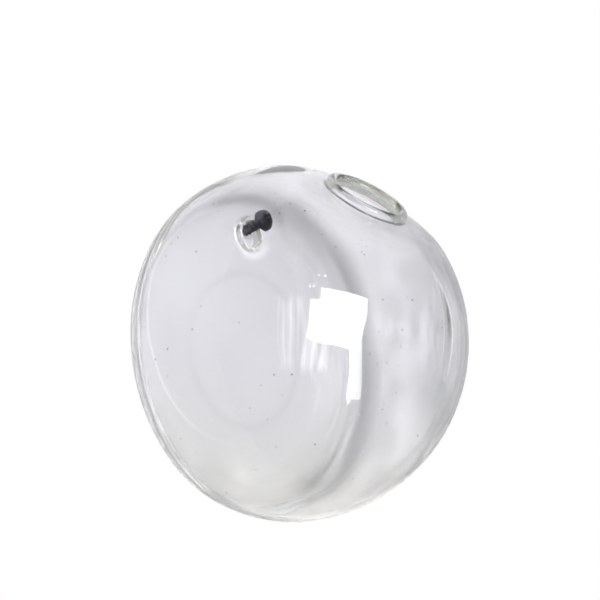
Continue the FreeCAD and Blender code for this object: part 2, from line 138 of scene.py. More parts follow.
class Tree:
    """A node tree under construction, with short calls. What takes a tree builds its nodes in it."""

    def __init__(self, tree: bpy.types.NodeTree) -> None:
        """Takes the tree to build in."""
        self.tree = tree

    def node(self, kind: str, inputs: Inputs | None = None, **settings: object) -> bpy.types.Node:
        """Adds a node.

        Args:
            kind: Blender's name of the node type.
            inputs: What its inputs take, by name or number: an output to link, or a plain value.
            settings: Properties of the node, by name.

        Returns:
            The new node.
        """
        node = self.tree.nodes.new(kind)
        for name, value in settings.items():
            setattr(node, name, value)
        for name, value in (inputs or {}).items():
            self.feed(node.inputs[name], value)
        return node

    def out(self, kind: str, inputs: Inputs | None = None, **settings: object) -> Socket:
        """Adds a node and gives its first output."""
        return self.node(kind, inputs, **settings).outputs[0]

    def feed(self, socket: Socket, value: object) -> None:
        """Links a socket to an output, or sets its value where a plain value is given."""
        if isinstance(value, Socket):
            self.tree.links.new(value, socket)
        else:
            socket.default_value = value

    def maths(self, operation: str, *values: object) -> Socket:
        """Adds a Math node and gives its result."""
        return self.out("ShaderNodeMath", dict(enumerate(values)), operation=operation)

    def product(self, first: Socket, *others: object) -> Socket:
        """Multiplies values with each other."""
        for value in others:
            first = self.maths("MULTIPLY", first, value)
        return first

    def squares(self, first: Socket, second: Socket) -> Socket:
        """Gives the sum of the squares of two values."""
        return self.maths("MULTIPLY_ADD", first, first, self.product(second, second))

    def length(self, first: Socket, second: Socket) -> Socket:
        """Gives the length of the way that goes by two values, at right angles to each other."""
        return self.maths("SQRT", self.maths("MULTIPLY_ADD", first, first, self.maths("POWER", second, 2.0)))

    def past(self, value: Socket, start: object, width: object) -> Socket:
        """Gives how many widths a value lies past the start."""
        return self.maths("DIVIDE", self.maths("SUBTRACT", value, start), width)

    def fall(self, square: Socket) -> Socket:
        """Gives the height of a bell, from the square of the distance from its middle."""
        return self.maths("EXPONENT", self.product(square, -1.0))

    def vector_maths(self, operation: str, first: object, second: object) -> Socket:
        """Adds a Vector Math node and gives its vector result."""
        inputs = {0: first, "Scale" if operation == "SCALE" else 1: second}
        return self.out("ShaderNodeVectorMath", inputs, operation=operation)

    def measure(self, operation: str, *vectors: object) -> Socket:
        """Adds a Vector Math node and gives its number, as of a dot product or a length."""
        inputs = dict(enumerate(vectors))
        return self.node("ShaderNodeVectorMath", inputs, operation=operation).outputs["Value"]

    def axes(self, vector: Socket) -> list[Socket]:
        """Splits a vector into its three numbers."""
        return list(self.node("ShaderNodeSeparateXYZ", {0: vector}).outputs)

    def joined(self, x: object, y: object = 0.0, z: object = 0.0) -> Socket:
        """Joins three numbers into a vector."""
        return self.out("ShaderNodeCombineXYZ", {0: x, 1: y, 2: z})

    def ease(self, value: Socket, start: object, end: object, low: object = 0.0, high: float = 1.0) -> Socket:
        """Adds a Map Range node that eases from the low value at the start to the high one at the end."""
        inputs = {"Value": value, "From Min": start, "From Max": end, "To Min": low, "To Max": high}
        return self.out("ShaderNodeMapRange", inputs, interpolation_type="SMOOTHSTEP")

    def mix(self, share: Socket, first: object, second: object, kind: str = "RGBA") -> Socket:
        """Mixes two colours, or two numbers where the kind is FLOAT."""
        inputs = {"Factor": share, "A": first, "B": second}
        return self.node("ShaderNodeMix", inputs, data_type=kind).outputs["Result"]

    def blend(self, share: Socket, first: bpy.types.Node, second: bpy.types.Node) -> Socket:
        """Mixes the surfaces of two shader nodes."""
        inputs = {0: share, 1: first.outputs[0], 2: second.outputs[0]}
        return self.out("ShaderNodeMixShader", inputs)

    def noise(self, vector: Socket, scale: object, detail: float = 1.0) -> Socket:
        """Adds a Noise Texture node and gives its value."""
        inputs = {"Vector": vector, "Scale": scale, "Detail": detail, "Roughness": HALF}
        return self.out("ShaderNodeTexNoise", inputs)

    def bump(self, height: Socket, distance: float) -> Socket:
        """Adds a Bump node of full strength and gives its normal."""
        inputs = {"Strength": 1.0, "Distance": distance, "Height": height}
        return self.out("ShaderNodeBump", inputs)

    def place(self) -> Socket:
        """Gives the place in the piece's own axes."""
        return self.node("ShaderNodeTexCoord").outputs["Object"]

    def attribute(self, name: str) -> Socket:
        """Reads the number that each point of a mesh carries under a name."""
        return self.out("GeometryNodeInputNamedAttribute", {"Name": name}, data_type="FLOAT")


def new_material(name: str) -> tuple[Material, Tree, bpy.types.Node]:
    """Makes an empty node material.

    Args:
        name: Name of the material.

    Returns:
        The material, its tree and its output node.
    """
    material = bpy.data.materials.new(name)
    material.use_nodes = True
    material.node_tree.nodes.clear()
    tree = Tree(material.node_tree)
    return material, tree, tree.node("ShaderNodeOutputMaterial")


@dataclass(frozen=True)
class ClearGlass:
    """Finish of the mouth-blown vessel: clear, faintly grey glass with a soft hand-worked skin.

    The pairs are the start and the end of an ease. Heights and radii at the lip are along the mouth's axis
    and away from it, and a side is the cosine of the angle from the lip's far side.
    """

    tint: Colour = (0.995, 0.996, 0.998, 1.0)
    refraction: float = 1.5
    absorbed: Colour = (0.62, 0.72, 0.60, 1.0)
    absorption: float = 3.0
    ripple_size: float = 7.0 * MM
    ripple_height: float = 0.012 * MM
    ripple_detail: float = 2.0
    # The next four fields are a painted glow: its colour near the mouth and beyond it, then its strength near
    # the mouth and beyond it.
    painted_glow_colour_near_mouth: Colour = (0.80, 0.79, 0.70, 1.0)
    spread: Colour = (0.80, 0.79, 0.82, 1.0)
    painted_glow_near_mouth: float = 0.018
    painted_glow_beyond: float = 0.080
    trapped_after: float = 10.0
    mouth_reach: Pair = (62.0 * MM, 86.0 * MM)
    mouth_place: Triple = (0.0, -71.72 * MM, 3.28 * MM)
    mouth_axis: Triple = (0.0, -0.6198, 0.7848)
    far_side: Triple = (0.742, 0.526, 0.416)
    # The crown fields give an olive painted shade on the lip's far crown; the fold fields give a near-black
    # painted shadow in the fold at the lip's near foot.
    crown_painted_shade: Colour = (0.44, 0.45, 0.34, 1.0)
    crown_side: Pair = (-0.1, 0.5)
    crown_height: Pair = (-0.4 * MM, 0.4 * MM)
    crown_radius: Pair = (25.0 * MM, 20.0 * MM)
    fold_painted_shadow: Colour = (0.02, 0.02, 0.03, 1.0)
    fold_radius: float = 18.9 * MM
    fold_width: float = 0.50 * MM
    fold_side: Pair = (0.1, -0.5)
    fold_low: Pair = (-2.2 * MM, -1.4 * MM)
    fold_high: Pair = (-0.3 * MM, -0.6 * MM)
    back_ring_tint: Colour = (0.93, 0.93, 0.935, 1.0)
    back_ring_radius: float = 33.0 * MM
    back_ring_width: float = 2.2 * MM
    back_ring_height: float = -52.0 * MM
    back_ring_depth: float = 5.0 * MM
    back_ring_grain: float = 25.0 * MM

    def back_ring_tinted(self, tree: Tree, place: Socket) -> Socket:
        """Greys the glass a little in a soft, patchy ring on the flat back.

        Args:
            place: Place in the frame.

        Returns:
            The colour of the glass.
        """
        x, y, z = tree.axes(place)
        rise = tree.maths("SUBTRACT", z, self.back_ring_height)
        past = tree.past(tree.length(rise, x), self.back_ring_radius, self.back_ring_width)
        at_back = tree.maths("GREATER_THAN", y, -self.back_ring_depth)
        patchy = tree.noise(place, 1.0 / self.back_ring_grain)
        share = tree.product(tree.fall(tree.product(past, past)), at_back, patchy)
        return tree.mix(share, self.tint, self.back_ring_tint)

    def lip_painted_shade(self, tree: Tree, place: Socket, colour: Socket) -> Socket:
        """Paints shade into the glass at the lip: an olive painted shade on the far crown, for the long path
        through the glass, and a near-black painted shadow in the fold at the near foot.

        Args:
            place: Place in the frame.
            colour: The colour of the glass elsewhere.

        Returns:
            The colour of the glass.
        """
        apart = tree.vector_maths("SUBTRACT", place, self.mouth_place)
        height = tree.measure("DOT_PRODUCT", apart, self.mouth_axis)
        flat = tree.vector_maths("SUBTRACT", apart, tree.vector_maths("SCALE", self.mouth_axis, height))
        radius = tree.measure("LENGTH", flat)
        side = tree.maths("DIVIDE", tree.measure("DOT_PRODUCT", flat, self.far_side), radius)
        crown = tree.product(
            tree.ease(side, *self.crown_side),
            tree.ease(height, *self.crown_height),
            tree.ease(radius, *self.crown_radius),
        )
        past = tree.past(radius, self.fold_radius, self.fold_width)
        fold = tree.product(
            tree.fall(tree.product(past, past)),
            tree.ease(side, *self.fold_side),
            tree.ease(height, *self.fold_low),
            tree.ease(height, *self.fold_high),
        )
        return tree.mix(fold, tree.mix(crown, colour, self.crown_painted_shade), self.fold_painted_shadow)

    def material(self) -> Material:
        """Builds the glass. Rays past many bounces in it take a painted glow, an emission that stands in for
        light trapped in the glass.

        Returns:
            The material.
        """
        material, tree, output = new_material("clear_blown_glass")
        place = tree.place()
        # Painted glow: rays past the bounce limit take a faint emission that stands in for trapped light,
        # fainter near the mouth.
        bounces = tree.node("ShaderNodeLightPath").outputs["Ray Depth"]
        trapped = tree.maths("GREATER_THAN", bounces, self.trapped_after)
        beyond = tree.ease(tree.measure("DISTANCE", place, self.mouth_place), *self.mouth_reach)
        level = tree.mix(beyond, self.painted_glow_near_mouth, self.painted_glow_beyond, "FLOAT")
        skin = tree.noise(place, 1.0 / self.ripple_size, self.ripple_detail)
        surface = {
            "Transmission Weight": 1.0,
            "Roughness": 0.0,
            "IOR": self.refraction,
            "Base Color": self.lip_painted_shade(tree, place, self.back_ring_tinted(tree, place)),
            "Normal": tree.bump(skin, self.ripple_height),
            "Emission Color": tree.mix(beyond, self.painted_glow_colour_near_mouth, self.spread),
            "Emission Strength": tree.product(trapped, level),
        }
        volume = {"Color": self.absorbed, "Density": self.absorption}
        tree.feed(output.inputs["Surface"], tree.out("ShaderNodeBsdfPrincipled", surface))
        tree.feed(output.inputs["Volume"], tree.out("ShaderNodeVolumeAbsorption", volume))
        return material


@dataclass(frozen=True)
class BlackenedSteel:
    """Finish of the screw: blue-black oxide on steel, worn paler in random blotches."""

    coat: Colour = (0.004, 0.003, 0.012, 1.0)
    worn: Colour = (0.030, 0.026, 0.060, 1.0)
    roughness: float = 0.30
    unevenness: float = 0.2
    grain: float = 0.5 * MM
    grain_height: float = 0.06 * MM
    grain_detail: float = 4.0

    def material(self) -> Material:
        """Builds the oxide.

        Returns:
            The material.
        """
        material, tree, output = new_material("blackened_steel")
        blotch = tree.noise(tree.place(), 1.0 / self.grain, self.grain_detail)
        least = self.roughness - self.unevenness / 2
        surface = {
            "Metallic": 1.0,
            "Base Color": tree.mix(blotch, self.coat, self.worn),
            "Roughness": tree.maths("MULTIPLY_ADD", blotch, self.unevenness, least),
            "Normal": tree.bump(blotch, self.grain_height),
        }
        tree.feed(output.inputs["Surface"], tree.out("ShaderNodeBsdfPrincipled", surface))
        return material


@dataclass(frozen=True)
class ThumbMark:
    """A soft hollow or rise that the blower's tools left in one face of the wall, in millimetres.

    Args:
        place: Middle of the mark.
        spread: Reach of the mark along each of the frame's directions.
        depth: How far the face sinks there; a rise is negative.
        side: Face of the wall that it is in.
        rim: Steepness of its rim; 1 is a plain swell.
    """

    place: Triple
    spread: Triple
    depth: float
    side: Side
    rim: float = 1.0

    def sunk(self, tree: Tree, here: Socket, is_inner: Socket) -> Socket:
        """Builds how far the mark lets a point sink.

        Args:
            here: Place of the point.
            is_inner: Whether the point is on the inner face.

        Returns:
            A depth in metres.
        """
        apart = tree.vector_maths("SUBTRACT", here, [value * MM for value in self.place])
        away = tree.vector_maths("DIVIDE", apart, [value * MM for value in self.spread])
        steep = tree.maths("POWER", tree.measure("DOT_PRODUCT", away, away), self.rim)
        face = is_inner if self.side is Side.INNER else tree.maths("SUBTRACT", 1.0, is_inner)
        return tree.product(tree.fall(steep), face, self.depth * MM)


@dataclass
class BlownVessel:
    """The vessel's shell: flat back, heel, dome, flattened shoulder, lip, and collared hanging hole.

    The steps are the stretches of each part of the section. The last fields give the noise that makes the
    wall uneven, the glass pooled in the heel, and the air seeds in the wall.
    """

    back_radius: float = 56.0 * MM
    heel_radius: float = 12.0 * MM
    wall: float = 2.4 * MM
    shoulder_sink: float = 4.0 * MM
    shoulder_radius: float = 115.0 * MM
    shoulder_blend: float = 30.0 * MM
    lip_radius: float = 2.3 * MM
    lip_rise: float = 0.7 * MM
    lip_foot: float = 0.4 * MM
    mouth_ease: float = 1.9 * MM
    hang_inset: float = 9.5 * MM
    hole_radius: float = 4.9 * MM
    hole_ease: float = 0.6 * MM
    collar_reach: float = 5.0 * MM
    collar_edge: float = 1.0 * MM
    collar_foot: float = 2.6 * MM
    around: int = 256
    flat_steps: int = 26
    heel_steps: int = 14
    belly_steps: int = 16
    sphere_steps: int = 44
    blend_steps: int = 8
    shoulder_steps: int = 14
    foot_steps: int = 4
    crown_steps: int = 20
    ease_steps: int = 5
    collar_steps: tuple[int, int] = (8, 12)
    heel_loosening: int = 8
    lip_loosening: float = 1.4
    weld: float = 0.001 * MM
    swell_size: float = 34.0 * MM
    swell_height: float = 0.5 * MM
    ripple_size: float = 12.0 * MM
    ripple_height: float = 0.05 * MM
    seed: float = 4.0
    face_shift: float = 3.7
    pool_radius: float = 64.5 * MM
    pool_depth: float = 4.0 * MM
    pool_width: float = 10.0 * MM
    pool_height: float = 4.5 * MM
    pool_start: float = 24.0 * MM
    pool_least: float = 0.25
    collar_clear: float = 12.0 * MM
    collar_fade: float = 2.5
    seed_density: float = 3600.0
    seed_small: float = 0.16 * MM
    seed_large: float = 0.42 * MM
    seed_looseness: float = 0.9
    seed_places: int = 7
    seed_sizes: int = 3
    seed_facets: int = 2
    marks: tuple[ThumbMark, ...] = (
        ThumbMark((8.6, -102.3, -58.0), (9.0, 30.0, 22.0), 0.30, Side.INNER),
        ThumbMark((12.5, -101.5, -54.0), (6.5, 30.0, 21.0), 0.17, Side.OUTER, 3.0),
        ThumbMark((15.0, -100.5, -50.0), (3.0, 30.0, 10.0), 0.10, Side.INNER, 2.0),
        ThumbMark((3.5, -102.8, -57.0), (4.5, 30.0, 10.0), 0.15, Side.OUTER, 3.0),
        ThumbMark((-11.5, -102.0, -56.0), (7.0, 30.0, 6.5), 0.16, Side.OUTER, 3.0),
        ThumbMark((-68.8, -40.3, -24.5), (30.0, 4.5, 5.0), 0.24, Side.OUTER, 3.0),
        ThumbMark((-48.0, -84.0, -60.0), (6.0, 30.0, 24.0), 0.8, Side.INNER),
        ThumbMark((-20.3, -53.2, 15.9), (14.0, 8.0, 10.0), 0.5, Side.OUTER),
        ThumbMark((-42.6, -43.7, -111.5), (12.0, 10.0, 8.0), 0.6, Side.INNER),
    )
    glass: ClearGlass = field(default_factory=ClearGlass)

    def __post_init__(self) -> None:
        """Reads the sizes that the frame gives."""
        low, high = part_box("glass_vessel")
        mouth = next(m for m in frame["record"]["mounts"] if m["name"] == "mouth")
        self.dome_radius = (high.x - low.x) / 2
        self.belly_depth = high.y - low.y - self.dome_radius
        self.axis_height = low.z + self.dome_radius
        self.mouth_radius = mouth["dims"]["r_mm"] * MM
        self.mouth_lean = math.atan2(mouth["axis"][2], -mouth["axis"][1])
        between = self.back_radius - self.heel_radius
        flat_radius = self.dome_radius - self.back_radius + math.sqrt(
            between ** 2 - (self.belly_depth - self.heel_radius) ** 2
        )
        self.hang_height = flat_radius - self.hang_inset
        self.hole_height = self.axis_height + self.hang_height

    def back_section(self, side: Side) -> list[Pair]:
        """Radius and depth of the heel and the back of the belly, from the flat to the widest place."""
        inset = self.wall * side.value
        between = self.back_radius - self.heel_radius
        fall = math.asin((self.belly_depth - self.heel_radius) / between)
        middle = self.dome_radius - self.back_radius
        centre = (middle + between * math.cos(fall), self.heel_radius)
        heel = arc(centre, self.heel_radius - inset, -math.pi / 2, -fall, self.heel_steps)
        belly = arc((middle, self.belly_depth), self.back_radius - inset, -fall, 0, self.belly_steps)
        return heel + belly[1:]

    def shoulder_section(self, side: Side) -> list[Pair]:
        """Radius and height of the shoulder above the sphere's centre, from the sphere in to the lip."""
        inset = self.wall * side.value
        cap_centre = self.dome_radius - self.shoulder_sink - self.shoulder_radius
        to_sphere = self.dome_radius - self.shoulder_blend
        to_cap = self.shoulder_radius - self.shoulder_blend
        height = (to_cap ** 2 - to_sphere ** 2 - cap_centre ** 2) / (-2 * cap_centre)
        radius = math.sqrt(to_sphere ** 2 - height ** 2)
        first = math.atan2(height, radius)
        last = math.atan2(height - cap_centre, radius)
        outer_foot = 2 * self.lip_radius + self.lip_foot
        end_radius = self.mouth_radius + (outer_foot if side is Side.OUTER else self.mouth_ease)
        end = math.acos(end_radius / (self.shoulder_radius - inset))
        blend = arc((radius, height), self.shoulder_blend - inset, first, last, self.blend_steps)
        cap = arc((0.0, cap_centre), self.shoulder_radius - inset, last, end, self.shoulder_steps)
        return blend + cap[1:]

    def lip_section(self) -> list[Pair]:
        """Radius and height of the lip above the sphere's centre, from the outer foot to the inside."""
        ring = self.mouth_radius + self.lip_radius
        top = self.dome_radius - self.shoulder_sink - self.shoulder_radius
        level = top + math.sqrt(self.shoulder_radius ** 2 - ring ** 2) + self.lip_rise
        foot_ring = ring + self.lip_radius + self.lip_foot
        foot_level = top + math.sqrt((self.shoulder_radius + self.lip_foot) ** 2 - foot_ring ** 2)
        foot = arc((foot_ring, foot_level), self.lip_foot, -math.pi / 2, -math.pi, self.foot_steps)
        ease_ring = self.mouth_radius + self.mouth_ease
        inner_radius = self.shoulder_radius - self.wall - self.mouth_ease
        ease_level = top + math.sqrt(inner_radius ** 2 - ease_ring ** 2) + 2 * self.mouth_ease
        ease = arc((ease_ring, ease_level), self.mouth_ease, math.pi, 1.5 * math.pi, self.ease_steps)
        crown = arc((ring, level), self.lip_radius, 0, math.pi, self.crown_steps)
        return foot[1:] + crown + ease[:-1]

    def collar_section(self) -> list[Pair]:
        """Radius from the hole's axis and depth of the collar, from its foot to the back face."""
        tip_level = self.collar_reach - self.collar_edge
        foot_level = self.wall + self.collar_foot
        between = self.collar_edge + self.collar_foot
        lean = math.asin((foot_level - tip_level) / between)
        tip_centre = self.hole_radius + self.collar_edge
        foot_centre = tip_centre + between * math.cos(lean)
        ease_centre = (self.hole_radius + self.hole_ease, self.hole_ease)
        foot_steps, tip_steps = self.collar_steps
        foot = arc((foot_centre, foot_level), self.collar_foot, 1.5 * math.pi, math.pi + lean, foot_steps)
        tip = arc((tip_centre, tip_level), self.collar_edge, lean, math.pi, tip_steps)
        ease = arc(ease_centre, self.hole_ease, math.pi, 1.5 * math.pi, self.ease_steps)
        return foot + tip[1:] + ease

    def mouth_ring(self, radius: float, height: float, side: Side, looseness: float) -> Ring:
        """Makes a circle about the mouth's axis."""
        depth = self.belly_depth + height * math.cos(self.mouth_lean)
        return Ring(depth, height * math.sin(self.mouth_lean), self.mouth_lean, radius, side, looseness)

    def flat_rings(self, side: Side, hole_radius: float, flat_radius: float) -> list[Ring]:
        """Circles of the flat back, from the hanging hole out to the heel."""
        rings = []
        for i in range(1, self.flat_steps):
            share = i / self.flat_steps
            radius = hole_radius + (flat_radius - hole_radius) * share
            rise = self.hang_height * (1 - share)
            loose = smooth(share) if side is Side.INNER else 0.0
            rings.append(Ring(self.wall * side.value, rise, 0.0, radius, side, loose))
        return rings

    def sphere_rings(self, side: Side, blend_angle: float) -> list[Ring]:
        """Circles on the sphere that turn from the vessel's axis to the mouth's axis."""
        radius = self.dome_radius - self.wall * side.value
        rings = []
        for i in range(1, self.sphere_steps):
            share = i / self.sphere_steps
            lean = self.mouth_lean * share
            polar = math.pi / 2 + (blend_angle - math.pi / 2) * share
            level = radius * math.cos(polar)
            depth = self.belly_depth + level * math.cos(lean)
            rings.append(Ring(depth, level * math.sin(lean), lean, radius * math.sin(polar), side, 1.0))
        return rings

    def half(self, side: Side) -> list[Ring]:
        """Circles of one face of the wall, from beside the hanging hole to beside the lip."""
        back = self.back_section(side)
        shoulder = self.shoulder_section(side)
        collar = self.collar_section()
        hole = collar[0][0] if side is Side.INNER else collar[-1][0]
        heel = []
        for i, (radius, depth) in enumerate(back):
            loose = 1.0 if side is Side.INNER else smooth((i + 1) / self.heel_loosening)
            heel.append(Ring(depth, 0.0, 0.0, radius, side, loose))
        sphere = self.sphere_rings(side, math.atan2(shoulder[0][0], shoulder[0][1]))
        lip = shoulder[-1][0]
        reach = shoulder[0][0] - lip
        top = [
            self.mouth_ring(radius, height, side, smooth((radius - lip) / reach * self.lip_loosening))
            for radius, height in shoulder
        ]
        return self.flat_rings(side, hole, back[0][0]) + heel + sphere + top

    def rings(self) -> list[Ring]:
        """Gives the closed run of circles: outer face, lip, inner face and collar."""
        lip = [self.mouth_ring(r, h, Side.OUTER, 0.0) for r, h in self.lip_section()]
        collar = [
            Ring(depth, self.hang_height, 0.0, radius, Side.INNER, 0.0)
            for radius, depth in self.collar_section()
        ]
        return self.half(Side.OUTER) + lip + self.half(Side.INNER)[::-1] + collar

    def spine(self) -> bpy.types.Object:
        """Makes a string of points, one for each circle, that carries the circles' sizes.

        Returns:
            An object whose mesh is one open string of edges.
        """
        rings = self.rings()
        mesh = bpy.data.meshes.new("ring_spine")
        middles = [(0.0, -ring.depth, self.axis_height + ring.rise) for ring in rings]
        mesh.from_pydata(middles, [(i, i + 1) for i in range(len(rings) - 1)], [])
        columns = {
            "lean": [ring.lean for ring in rings],
            "radius": [ring.radius for ring in rings],
            "side": [ring.side.value for ring in rings],
            "looseness": [ring.looseness for ring in rings],
        }
        for name, values in columns.items():
            mesh.attributes.new(name, "FLOAT", "POINT").data.foreach_set("value", values)
        piece = bpy.data.objects.new("blown_vessel", mesh)
        bpy.context.scene.collection.objects.link(piece)
        return piece

    def loft_tree(self, material: Material) -> bpy.types.NodeTree:
        """Builds the nodes that loft the circles and let the blown wall swell and ripple.

        Args:
            material: Finish of the shell.

        Returns:
            The node tree, with its sizes as named inputs.
        """
        group = bpy.data.node_groups.new("blown_shell", "GeometryNodeTree")
        sockets = [("Spine", "NodeSocketGeometry")]
        sockets += [(name, "NodeSocketInt") for name in ("Rings", "Points Around")]
        sockets += [(name, "NodeSocketFloat") for name in SHELL_SIZES]
        for name, kind in sockets:
            group.interface.new_socket(name, in_out="INPUT", socket_type=kind)
        group.interface.new_socket("Shell", in_out="OUTPUT", socket_type="NodeSocketGeometry")
        tree = Tree(group)
        given = tree.node("NodeGroupInput").outputs
        side = tree.attribute("side")
        loose = tree.attribute("looseness")
        here = tree.out("GeometryNodeInputPosition")
        normal = tree.out("GeometryNodeInputNormal")
        is_inner = tree.maths("GREATER_THAN", side, HALF)
        inwards = tree.product(self.unevenness(tree, given, here, side, is_inner), loose, -1.0)
        pool = self.pool(tree, given, here, is_inner)
        inwards = tree.maths("MULTIPLY_ADD", pool, given["Pool Height"], inwards)
        offset = tree.vector_maths("SCALE", normal, inwards)
        waved = tree.out("GeometryNodeSetPosition", {"Geometry": self.loft(tree, given), "Offset": offset})
        both = tree.node("GeometryNodeJoinGeometry", {0: waved})
        tree.feed(both.inputs[0], self.seeds(tree, waved, given, side, loose))
        shaded = tree.out("GeometryNodeSetShadeSmooth", {0: both.outputs[0]})
        real = tree.out("GeometryNodeRealizeInstances", {0: shaded})
        dressed = tree.out("GeometryNodeSetMaterial", {"Geometry": real, "Material": material})
        tree.node("NodeGroupOutput", {"Shell": dressed})
        return group

    def loft(self, tree: Tree, given: Outputs) -> Socket:
        """Rolls a grid into the closed run of circles, with its faces outwards.

        Args:
            given: Inputs of the tree.

        Returns:
            The shell, whose points carry their side and their looseness.
        """
        counts = [tree.maths("ADD", given[name], 1) for name in ("Rings", "Points Around")]
        sizes = {"Size X": 1.0, "Size Y": 1.0, "Vertices X": counts[0], "Vertices Y": counts[1]}
        grid = tree.node("GeometryNodeMeshGrid", sizes)
        run, turn, _ = tree.axes(grid.outputs["UV Map"])
        step = tree.maths("ROUND", tree.product(run, given["Rings"]))
        number = tree.maths("MODULO", step, given["Rings"])
        angle = tree.product(turn, 2 * math.pi)

        def carried(source: Socket, kind: str = "FLOAT") -> Socket:
            """Reads a value of the spine at each grid point's own circle."""
            inputs = {"Geometry": given["Spine"], "Value": source, "Index": number}
            return tree.out("GeometryNodeSampleIndex", inputs, data_type=kind, domain="POINT")

        lean = carried(tree.attribute("lean"))
        radius = carried(tree.attribute("radius"))
        across = tree.product(radius, tree.maths("COSINE", angle))
        along = tree.product(radius, tree.maths("SINE", angle))
        forwards = tree.product(along, tree.maths("SINE", lean))
        upwards = tree.product(along, tree.maths("COSINE", lean))
        middle = carried(tree.out("GeometryNodeInputPosition"), "FLOAT_VECTOR")
        place = tree.vector_maths("ADD", middle, tree.joined(across, forwards, upwards))
        shell = grid.outputs["Mesh"]
        for name in ("side", "looseness"):
            inputs = {"Geometry": shell, "Name": name, "Value": carried(tree.attribute(name))}
            shell = tree.out("GeometryNodeStoreNamedAttribute", inputs, data_type="FLOAT", domain="POINT")
        lofted = tree.out("GeometryNodeSetPosition", {"Geometry": shell, "Position": place})
        merged = tree.out("GeometryNodeMergeByDistance", {"Geometry": lofted, "Distance": self.weld})
        return tree.out("GeometryNodeFlipFaces", {"Mesh": merged})

    def unevenness(self, tree: Tree, given: Outputs, here: Socket, side: Socket, is_inner: Socket) -> Socket:
        """Builds how far the faces sink by the wall's swell and ripple and by the marks of the tools.

        Args:
            given: Inputs of the tree.
            here: Place of a point.
            side: Which face of the wall it is on.
            is_inner: Whether that is the inner face.

        Returns:
            A depth.
        """
        shift = tree.joined(tree.maths("MULTIPLY_ADD", side, self.face_shift, given["Seed"]))
        where = tree.vector_maths("ADD", here, shift)
        waves = []
        for name in ("Swell", "Ripple"):
            wave = tree.noise(where, tree.maths("DIVIDE", 1.0, given[name + " Size"]))
            waves.append(tree.product(wave, given[name + " Height"]))
        depth = tree.maths("ADD", *waves)
        for mark in self.marks:
            depth = tree.maths("ADD", depth, mark.sunk(tree, here, is_inner))
        return depth

    def pool(self, tree: Tree, given: Outputs, here: Socket, is_inner: Socket) -> Socket:
        """Builds the share of the glass pooled in the heel's inner corner, clear of the hole's collar.

        Args:
            given: Inputs of the tree.
            here: Place of a point.
            is_inner: Whether it is on the inner face.

        Returns:
            A share from 0 to 1.
        """
        x, y, z = tree.axes(here)
        reach = tree.length(tree.maths("SUBTRACT", z, given["Axis Height"]), x)
        past = tree.past(reach, given["Pool Radius"], given["Pool Width"])
        off = tree.maths("DIVIDE", tree.maths("ADD", y, given["Pool Depth"]), given["Pool Width"])
        beside = tree.length(tree.maths("SUBTRACT", z, given["Hole Height"]), x)
        fade_end = tree.product(given["Collar Clear"], self.collar_fade)
        clear = tree.ease(beside, given["Collar Clear"], fade_end)
        left = tree.product(given["Pool Start"], -1.0)
        lopsided = tree.ease(x, left, given["Pool Start"], given["Pool Least"])
        return tree.product(tree.fall(tree.squares(past, off)), is_inner, clear, lopsided)

    def seeds(self, tree: Tree, shell: Socket, given: Outputs, side: Socket, loose: Socket) -> Socket:
        """Scatters the tiny air seeds inside the wall, as hollows whose faces look into the air.

        Args:
            shell: The lofted shell.
            given: Inputs of the tree.
            side: Which face of the wall a point is on.
            loose: Share of unevenness at a point.

        Returns:
            The seeds' faces.
        """
        is_loose = tree.maths("GREATER_THAN", loose, self.seed_looseness)
        free = tree.product(tree.maths("LESS_THAN", side, HALF), is_loose)
        spots = {"Mesh": shell, "Selection": free, "Density": given["Seed Density"]}
        spots["Seed"] = self.seed_places
        scatter = tree.node("GeometryNodeDistributePointsOnFaces", spots).outputs
        sink = tree.vector_maths("SCALE", scatter["Normal"], tree.product(given["Wall"], -HALF))
        sunk = tree.out("GeometryNodeSetPosition", {"Geometry": scatter["Points"], "Offset": sink})
        bead = tree.out("GeometryNodeMeshIcoSphere", {"Radius": 1.0, "Subdivisions": self.seed_facets})
        hollow = tree.out("GeometryNodeFlipFaces", {"Mesh": bead})
        size = tree.node("FunctionNodeRandomValue", {"Seed": self.seed_sizes}, data_type="FLOAT")
        limits = {socket.name: socket for socket in size.inputs if socket.type == "VALUE"}
        tree.feed(limits["Min"], given["Seed Small"])
        tree.feed(limits["Max"], given["Seed Large"])
        radius = next(socket for socket in size.outputs if socket.type == "VALUE")
        placing = {"Points": sunk, "Instance": hollow, "Scale": radius}
        return tree.out("GeometryNodeInstanceOnPoints", placing)

    def build(self) -> bpy.types.Object:
        """Lofts the shell, bakes it to a plain mesh and hands it to the frame.

        Returns:
            The vessel.
        """
        material = self.glass.material()
        piece = self.spine()
        sizes = {name: getattr(self, name.lower().replace(" ", "_")) for name in SHELL_SIZES}
        sizes["Rings"] = len(piece.data.vertices)
        sizes["Points Around"] = self.around
        bake_nodes(piece, self.loft_tree(material), sizes)
        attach(piece, Body.VESSEL.value)
        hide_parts("glass_vessel")
        log.info("blown_vessel: %d faces", len(piece.data.polygons))
        return piece


def bake_nodes(piece: bpy.types.Object, group: bpy.types.NodeTree, sizes: dict[str, float]) -> None:
    """Runs a node tree on an object and keeps the result as its plain mesh.

    Args:
        piece: Object to change.
        group: Geometry node tree.
        sizes: Values of the tree's named inputs.
    """
    modifier = piece.modifiers.new("maker", "NODES")
    modifier.node_group = group
    for item in group.interface.items_tree:
        if item.in_out == "INPUT" and item.name in sizes:
            modifier[item.identifier] = sizes[item.name]
    bpy.context.view_layer.update()
    evaluated = piece.evaluated_get(bpy.context.evaluated_depsgraph_get())
    mesh = bpy.data.meshes.new_from_object(evaluated)
    piece.modifiers.remove(modifier)
    piece.data = mesh
    mesh.name = piece.name


@dataclass
class HangingScrew:
    """The screw that carries the vessel, dressed in its own finish."""

    finish: BlackenedSteel = field(default_factory=BlackenedSteel)

    def build(self) -> None:
        """Puts the finish on the frame's own screw."""
        screw = frame["nodes"]["hanging_screw"]
        for slot in screw.material_slots:
            slot.material = self.finish.material()
        log.info("hanging_screw: %d faces", len(screw.data.polygons))


